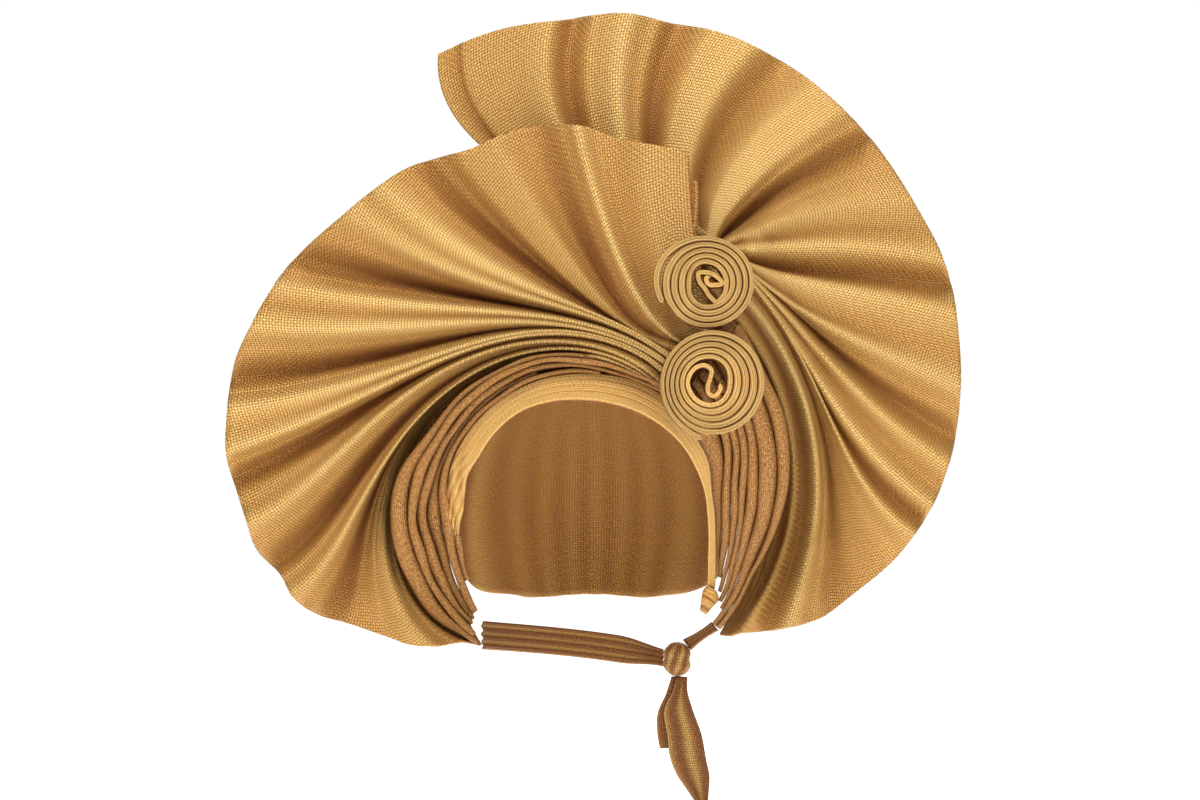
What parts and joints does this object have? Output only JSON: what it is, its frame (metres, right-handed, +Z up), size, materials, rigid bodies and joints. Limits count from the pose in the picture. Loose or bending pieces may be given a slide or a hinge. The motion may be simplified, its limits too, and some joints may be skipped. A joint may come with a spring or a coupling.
{
  "type": "tied gele head tie",
  "caption": "Ready-tied head wrap of stiff woven gold cloth: a cap with a flat front band, narrow pleats round the face, wide fanned folds, rolled rosettes and a knot behind the neck.",
  "frame": {"origin": "top of the hollow inside the cap, where the crown of the head carries the head tie (mount head_seat)", "axes": "+Z up, -Y to the front where the face looks out, +X to the right as the head tie is seen from the front; the head comes in from below along +Z"},
  "size_m": [0.4319, 0.2086, 0.4792],
  "materials": {
    "cap_cloth": "woven gold cloth, matt",
    "band_cloth": "woven gold cloth, soft sheen",
    "pleat_cloth": "woven gold cloth, soft sheen",
    "fan_cloth": "coarse woven gold cloth, metallic sheen",
    "rosette_cloth": "woven gold cloth, soft sheen",
    "tie_cloth": "woven gold cloth, soft sheen"
  },
  "bodies": {
    "root": {"cap_crown": "cap_cloth", "front_band": "band_cloth", "left_pleat_1": "pleat_cloth", "left_pleat_2": "pleat_cloth", "left_pleat_3": "pleat_cloth", "left_pleat_4": "pleat_cloth", "left_pleat_5": "pleat_cloth", "left_pleat_6": "pleat_cloth", "right_pleat_1": "pleat_cloth", "right_pleat_2": "pleat_cloth", "right_pleat_3": "pleat_cloth", "right_pleat_4": "pleat_cloth", "right_pleat_5": "pleat_cloth", "right_pleat_6": "pleat_cloth", "right_pleat_7": "pleat_cloth", "left_fan": "fan_cloth", "left_fan_hem": "fan_cloth", "right_fan": "fan_cloth", "rosette_upper": "rosette_cloth", "rosette_lower": "rosette_cloth", "jaw_fold": "band_cloth", "nape_strap": "tie_cloth", "side_strap": "tie_cloth", "tie_knot": "tie_cloth", "tie_tail_long": "tie_cloth", "tie_tail_short": "tie_cloth"}
  },
  "joints": []
}
